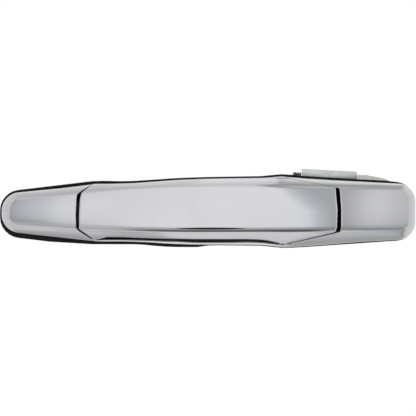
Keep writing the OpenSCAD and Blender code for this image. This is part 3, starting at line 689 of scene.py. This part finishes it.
# one object from several closed pieces, with every face turned outwards
def joinPieces(name, pieces, material, nodeName, body):
    verts, faces = [], []
    for pieceVerts, pieceFaces in pieces:
        start = len(verts)
        verts += pieceVerts
        faces += [[start + i for i in face] for face in pieceFaces]
    obj = newObject(name, np.array(verts) * mm, faces, material)
    facing = bmesh.new()
    facing.from_mesh(obj.data)
    bmesh.ops.recalc_face_normals(facing, faces=facing.faces)
    facing.to_mesh(obj.data)
    facing.free()
    obj.data.set_sharp_from_angle(angle=math.radians(screws["sharpFrom"]))
    if body:
        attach(obj, body)
    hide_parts(nodeName)
    return obj


# shank towards -Y, round head with a lobed drive socket towards +Y
def screwAt(x, z, seat, reach):
    r, h, top = screws["shank"], screws["head"], seat + screws["headHigh"]
    start, socket, deep = seat - reach, screws["socket"], screws["socketDeep"]
    rings = [(r * 0.55, start, 0), (r * 0.86, start + 0.35, 0)]
    rings += [(r, y, threadMark) for y in np.arange(start + 0.5, seat - 0.6, screws["ringStep"])]
    rings += [(r * 0.9, seat - 0.5, 0), (r * 0.95, seat, 0), (h - 0.15, seat, 0),
              (h, seat + 0.15, 0), (h, seat + 0.55, 0), (h * 0.95, seat + 0.95, 0),
              (h * 0.82, seat + 1.27, 0), (h * 0.64, top - 0.06, 0), (socket + 0.16, top, 0.5),
              (socket, top - 0.05, 1), (socket - 0.06, top - 0.14, 1),
              (socket - 0.1, top - deep + 0.1, 1), (socket - 0.25, top - deep, 0.8),
              (0.3, top - deep - 0.12, 0)]
    return turnedAboutY(rings, x, z, screws["sides"], screws["lobes"], screws["threadPitch"])


def screwSet(name, nodeName, body, spots):
    pieces = [screwAt(*spot) for spot in spots]
    joinPieces(name, pieces, finishes["fixingSteel"], nodeName, body)


screwSet("bezelScrews", "bezel_screws", "base",
         [(x, z, screws["bezelSeat"], screws["bezelReach"]) for x, z in screws["bezel"]])
screwSet("bracketScrews", "bracket_screws", "base",
         [(x, z, screws["bracketSeat"], screws["bracketReach"]) for x, z in screws["bracket"]])
screwSet("leverScrews", "lever_screws", "lever",
         [(x, 0, -float(leverBackAt(x)) - 2, screws["leverReach"]) for x in screws["lever"]])

studs = {"across": 120.0, "radius": 3.0, "end": 20.0, "collar": 4.2, "flange": 5.4, "pitch": 1.0}


def studAt(x):
    r, flange, collar = studs["radius"], studs["flange"], studs["collar"]
    rings = [(flange - 0.3, -6.1, 0), (flange, -5.8, 0), (flange, -4.75, 0),
             (flange - 0.25, -4.5, 0), (collar, -4.45, 0), (collar, -0.3, 0),
             (collar - 0.28, -0.02, 0), (r, 0.0, 0), (r, 2.4, 0), (r * 0.93, 2.7, 0)]
    rings += [(r, y, threadMark) for y in np.arange(2.9, studs["end"] - 0.8, screws["ringStep"])]
    rings += [(r * 0.86, studs["end"] - 0.5, 0), (r * 0.7, studs["end"], 0)]
    return turnedAboutY(rings, x, 0, screws["sides"], 0, studs["pitch"])


joinPieces("mountingStuds", [studAt(-studs["across"]), studAt(studs["across"])],
           finishes["fixingSteel"], "mounting_studs", "base")
print("screws and studs built")

spring = {
    "wire": 0.75, "coil": 5.0, "axisY": 20.0, "axisZ": 21.5, "from": 60.1, "to": 63.7,
    "turns": 2.25, "stepsPerTurn": 24,
    "fixedLeg": [(58.7, 11.6, 11.4), (58.7, 12.6, 17), (58.6, 13.8, 23), (58.9, 16.4, 26.2)],
    "movingLeg": [(63.8, 25, 19.5), (65, 23.6, 15.6), (67.5, 20.4, 12.2), (71, 18.9, 9.6)],
    "sides": 16, "step": 0.45, "endTaper": 0.8,
}


# smooth curve through the points, walked in steps of about step mm
def smoothPath(points, step):
    ends = [2 * points[0] - points[1]] + points + [2 * points[-1] - points[-2]]
    path = []
    for before, start, stop, after in zip(ends[:-3], ends[1:-2], ends[2:-1], ends[3:]):
        count = max(1, int(np.linalg.norm(stop - start) / step))
        for t in np.arange(count) / count:
            path.append(0.5 * (2 * start + (stop - before) * t
                               + (2 * before - 5 * start + 4 * stop - after) * t * t
                               + (3 * start - before - 3 * stop + after) * t ** 3))
    return path + [points[-1]]


def buildSpring():
    coil = []
    for t in np.linspace(0, 1, int(spring["stepsPerTurn"] * spring["turns"]) + 1):
        a = math.pi / 2 - 2 * math.pi * spring["turns"] * t
        coil.append(np.array([spring["from"] + (spring["to"] - spring["from"]) * t,
                              spring["axisY"] + spring["coil"] * math.cos(a),
                              spring["axisZ"] + spring["coil"] * math.sin(a)]))
    points = [np.array(p, float) for p in spring["fixedLeg"]] + coil
    points += [np.array(p, float) for p in spring["movingLeg"]]
    path = smoothPath(points, spring["step"])
    verts, sides = [], spring["sides"]
    side = np.array([1.0, 0, 0])
    for i, point in enumerate(path):
        along = path[min(i + 1, len(path) - 1)] - path[max(i - 1, 0)]
        along = along / np.linalg.norm(along)
        side = side - along * side.dot(along)
        side = side / np.linalg.norm(side)
        up = np.cross(along, side)
        taper = spring["endTaper"] if i in (0, len(path) - 1) else 1.0
        for k in range(sides):
            a = 2 * math.pi * k / sides
            around = math.cos(a) * side + math.sin(a) * up
            verts.append(tuple(point + spring["wire"] * taper * around))
    obj = joinPieces("returnSpring", [(verts, tubeFaces(len(path), sides))],
                     finishes["springSteel"], "return_spring", None)
    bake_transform(obj)


buildSpring()
print("spring wound")

plainNodes = {
    "lever_pivot_pin": "pinSteel", "crank_shaft": "pinSteel", "shaft_clip": "pinSteel",
    "stop_bumper": "bumperRubber", "arm_slot_seal": "bumperRubber", "pivot_bushes": "acetal",
    "lever_bumpers": "bumperRubber", "crank_pin": "pinSteel", "crank_bushes": "acetal",
    "weight_rivets": "pinSteel",
}
for nodeName, finishName in plainNodes.items():
    for materialSlot in nodes[nodeName].material_slots:
        materialSlot.material = finishes[finishName]
print("carried-over pieces finished:", len(plainNodes))

studio = {"floorZ": -0.26, "floorSize": 3.0, "floorDark": (0.84, 0.84, 0.84),
          "floorLight": (0.88, 0.88, 0.88), "floorRough": 0.8}
floorMesh = bpy.data.meshes.new("studioFloor")
half, floorZ = studio["floorSize"] / 2, studio["floorZ"]
floorMesh.from_pydata([(-half, -half, floorZ), (half, -half, floorZ), (half, half, floorZ),
                       (-half, half, floorZ)], [], [[0, 1, 2, 3]])
floor = bpy.data.objects.new("studioFloor", floorMesh)
bpy.context.scene.collection.objects.link(floor)
floorMaterial, floorTree, floorShader = newMaterial("paleFloor")
floorShader.inputs["Roughness"].default_value = studio["floorRough"]
floorTree.links.new(twoTone(floorTree, noiseField(floorTree, objectPoints(floorTree), 3, 3),
                            studio["floorDark"], studio["floorLight"]),
                    floorShader.inputs["Base Color"])
floorMesh.materials.append(floorMaterial)
floor.visible_glossy = False

# what the chrome reflects: a white room in front with grey sides, a dark strip low down, and
# softer grey above and behind; "across" runs over the direction's X, "around" over degrees
# turned about X from straight ahead, downwards positive
room = {
    "across": [(-1.0, 0.86), (-0.7, 0.82), (-0.62, 0.76), (-0.575, 0.56), (-0.545, 0.56),
               (-0.523, 0.7), (-0.5, 0.78), (-0.48, 0.84), (-0.461, 0.93), (-0.443, 1.0),
               (0.175, 1.0), (0.2, 0.96), (0.238, 0.78), (0.275, 0.66), (0.318, 0.55), (0.35, 0.55),
               (0.39, 0.62), (0.424, 0.72), (0.458, 0.8), (0.492, 0.84), (0.525, 0.81),
               (0.588, 0.73), (0.62, 0.7), (0.7, 0.8), (0.85, 0.9), (1.0, 0.9)],
    "around": [(-180, 0.62), (-168, 0.9), (-150, 0.92), (-136, 0.8), (-100, 0.78), (-60, 0.84),
               (-35, 0.94), (-24, 1.0), (18, 1.0), (24, 0.9), (30, 0.56), (40, 0.45), (50, 0.4),
               (57, 0.28), (63, 0.12), (88, 0.12), (97, 0.3), (104, 0.88), (120, 0.84), (140, 0.72),
               (156, 0.62), (170, 0.5), (180, 0.45)],
    "sides": [(-180, 0.88), (-168, 0.84), (-150, 0.8), (-136, 0.72), (-100, 0.68), (-60, 0.84),
              (-24, 0.96), (-9, 1.0), (0, 1.0), (12, 0.95), (20, 0.86), (30, 0.74), (50, 0.64),
              (88, 0.58), (97, 0.74), (104, 0.84), (112, 0.7), (125, 0.56), (140, 0.47),
              (156, 0.42), (166, 0.45), (175, 0.8), (180, 0.88)],
    "sideReach": (0.25, 0.42), "tint": (0.96, 0.97, 1.04), "tintAt": (0.24, 0.09),
    "tintLeft": (-0.52, 0.09),
    "spotAcross": (-0.095, 0.085), "spotAround": (32, 8.5), "spotGrey": 0.04,
    "spotFade": (0.6, 1.15),
    "skew": 0.33, "skewFloor": -0.05, "skewAt": (0.15, 0.2),
    "endReach": (0.7, 1.0), "endTurn": (0.22, 0.45), "endGrey": 0.8,
    "topGrey": 1.6, "leftTintShare": 0.7,
}
world = bpy.data.worlds.new("studioWorld")
bpy.context.scene.world = world
world.use_nodes = True
sky = world.node_tree
backdrop = sky.nodes["Background"]


def skyMath(operation, first, second=None, third=None):
    node = addNode(sky, "ShaderNodeMath", operation=operation)
    for socket, value in zip(node.inputs, (first, second, third)):
        if value is None:
            continue
        if isinstance(value, (int, float)):
            socket.default_value = value
        else:
            sky.links.new(value, socket)
    return node.outputs["Value"]


# piecewise curve of greys, as a float curve over low..high
def skyCurve(value, points, low, high):
    top = room["topGrey"]
    curve = addNode(sky, "ShaderNodeFloatCurve")
    line = curve.mapping.curves[0]
    while len(line.points) < len(points):
        line.points.new(0.5, 0.5)
    for point, (at, grey) in zip(line.points, points):
        point.location = ((at - low) / (high - low), grey / top)
        point.handle_type = "VECTOR"
    curve.mapping.update()
    share = skyMath("DIVIDE", skyMath("SUBTRACT", value, low), high - low)
    sky.links.new(share, curve.inputs["Value"])
    return skyMath("MULTIPLY", curve.outputs["Value"], top)


# square of the distance from centre, 1 at the reach
def skyBump(value, centre, reach):
    return skyMath("POWER", skyMath("DIVIDE", skyMath("SUBTRACT", value, centre), reach), 2.0)


# smooth step from low to high while the value crosses the reach
def skyStep(value, reach, low=0.0, high=1.0):
    step = addNode(sky, "ShaderNodeMapRange", interpolation_type="SMOOTHSTEP")
    step.inputs["From Min"].default_value, step.inputs["From Max"].default_value = reach
    step.inputs["To Min"].default_value, step.inputs["To Max"].default_value = low, high
    sky.links.new(value, step.inputs["Value"])
    return step.outputs["Result"]


# from one grey to another by a share of 0 to 1
def skyMix(share, plain, other):
    return skyMath("ADD", plain, skyMath("MULTIPLY", share, skyMath("SUBTRACT", other, plain)))


# 1 at the centre, falling to 0 at the reach
def skyPatch(value, place, peak=1.0):
    return skyMath("MAXIMUM", skyMath("SUBTRACT", peak, skyBump(value, *place)), 0.0)


direction = addNode(sky, "ShaderNodeTexCoord")
split = addNode(sky, "ShaderNodeSeparateXYZ")
sky.links.new(direction.outputs["Generated"], split.inputs["Vector"])
rightward, backward, upward = split.outputs["X"], split.outputs["Y"], split.outputs["Z"]
turned = skyMath("DEGREES", skyMath("ARCTAN2", skyMath("MULTIPLY", upward, -1.0),
                                    skyMath("MULTIPLY", backward, -1.0)))
# the grey on the lever's right end leans over: upper rows darken further to the left
lean = skyMath("MULTIPLY", skyMath("MAXIMUM", upward, room["skewFloor"]), room["skew"])
skewed = skyMath("MULTIPLY", lean, skyPatch(rightward, room["skewAt"]))
across = skyCurve(skyMath("ADD", rightward, skewed), room["across"], -1.0, 1.0)
around = skyCurve(turned, room["around"], -180.0, 180.0)
sides = skyCurve(turned, room["sides"], -180.0, 180.0)
# steep walls mirror little sideways, so the side share follows the slope, not the direction itself
sideways = skyMath("DIVIDE", skyMath("MULTIPLY", skyMath("ABSOLUTE", rightward), 2.0),
                   skyMath("MAXIMUM", skyMath("SUBTRACT", 1.0, backward), 0.02))
grey = skyMath("MULTIPLY", across, skyMix(skyStep(sideways, room["sideReach"]), around, sides))
# the rounded ends mirror one even grey: directions of a steep slope that leans mostly sideways
flatSum = skyMath("ADD", skyMath("ABSOLUTE", rightward), skyMath("ABSOLUTE", upward))
leaning = skyMath("DIVIDE", skyMath("ABSOLUTE", rightward), skyMath("MAXIMUM", flatSum, 0.001))
endShare = skyMath("MULTIPLY", skyStep(sideways, room["endReach"]),
                   skyStep(leaning, room["endTurn"]))
grey = skyMix(endShare, grey, room["endGrey"])
spot = skyMath("ADD", skyBump(rightward, *room["spotAcross"]), skyBump(turned, *room["spotAround"]))
grey = skyMath("MULTIPLY", grey, skyStep(spot, room["spotFade"], room["spotGrey"], 1.0))
blue = skyMath("MAXIMUM", skyPatch(rightward, room["tintAt"]),
               skyPatch(rightward, room["tintLeft"], room["leftTintShare"]))
# inputs 0, 6 and 7 of a colour mix are its factor, A and B, and output 2 is its colour
tint = addNode(sky, "ShaderNodeMix", data_type="RGBA")
tint.inputs[6].default_value = (1, 1, 1, 1)
tint.inputs[7].default_value = (*room["tint"], 1)
sky.links.new(blue, tint.inputs[0])
toned = addNode(sky, "ShaderNodeVectorMath", operation="SCALE")
sky.links.new(tint.outputs[2], toned.inputs[0])
sky.links.new(grey, toned.inputs["Scale"])
# the backdrop itself stays plain white
cameraRay = addNode(sky, "ShaderNodeLightPath")
choose = addNode(sky, "ShaderNodeMix", data_type="RGBA")
choose.inputs[7].default_value = (1, 1, 1, 1)
sky.links.new(cameraRay.outputs["Is Camera Ray"], choose.inputs[0])
sky.links.new(toned.outputs["Vector"], choose.inputs[6])
sky.links.new(choose.outputs[2], backdrop.inputs["Color"])
backdrop.inputs["Strength"].default_value = 1.0


lamps = {"keyLamp": {"place": (-0.7, -0.9, 1.1), "size": 0.9, "power": 5.0},
         "backLamp": {"place": (0.6, 1.0, 0.9), "size": 0.9, "power": 4.0}}


# round area lamp aimed at the handle
def softLamp(name, look):
    lamp = bpy.data.lights.new(name, "AREA")
    lamp.shape, lamp.size, lamp.energy = "DISK", look["size"], look["power"]
    obj = bpy.data.objects.new(name, lamp)
    obj.location = look["place"]
    aim = Vector((0, 0, 0)) - Vector(look["place"])
    obj.rotation_euler = aim.to_track_quat("-Z", "Y").to_euler()
    obj.visible_glossy = False
    bpy.context.scene.collection.objects.link(obj)


for lampName, lampLook in lamps.items():
    softLamp(lampName, lampLook)

camera = {"lens": 300.0, "sensor": 36.0, "frameWidth": 0.2813, "planeY": -0.015, "centreZ": 0.0027,
          "farEnd": 50}
lensData = bpy.data.cameras.new("mainCamera")
lensData.lens, lensData.sensor_width = camera["lens"], camera["sensor"]
away = camera["frameWidth"] / camera["sensor"] * camera["lens"]
cameraObject = bpy.data.objects.new("mainCamera", lensData)
cameraObject.location = (0, camera["planeY"] - away, camera["centreZ"])
cameraObject.rotation_euler = (math.pi / 2, 0, 0)
lensData.clip_end = camera["farEnd"]
bpy.context.scene.collection.objects.link(cameraObject)
bpy.context.scene.camera = cameraObject
bpy.context.scene.view_settings.view_transform = "Standard"
print("stage, light and camera ready")
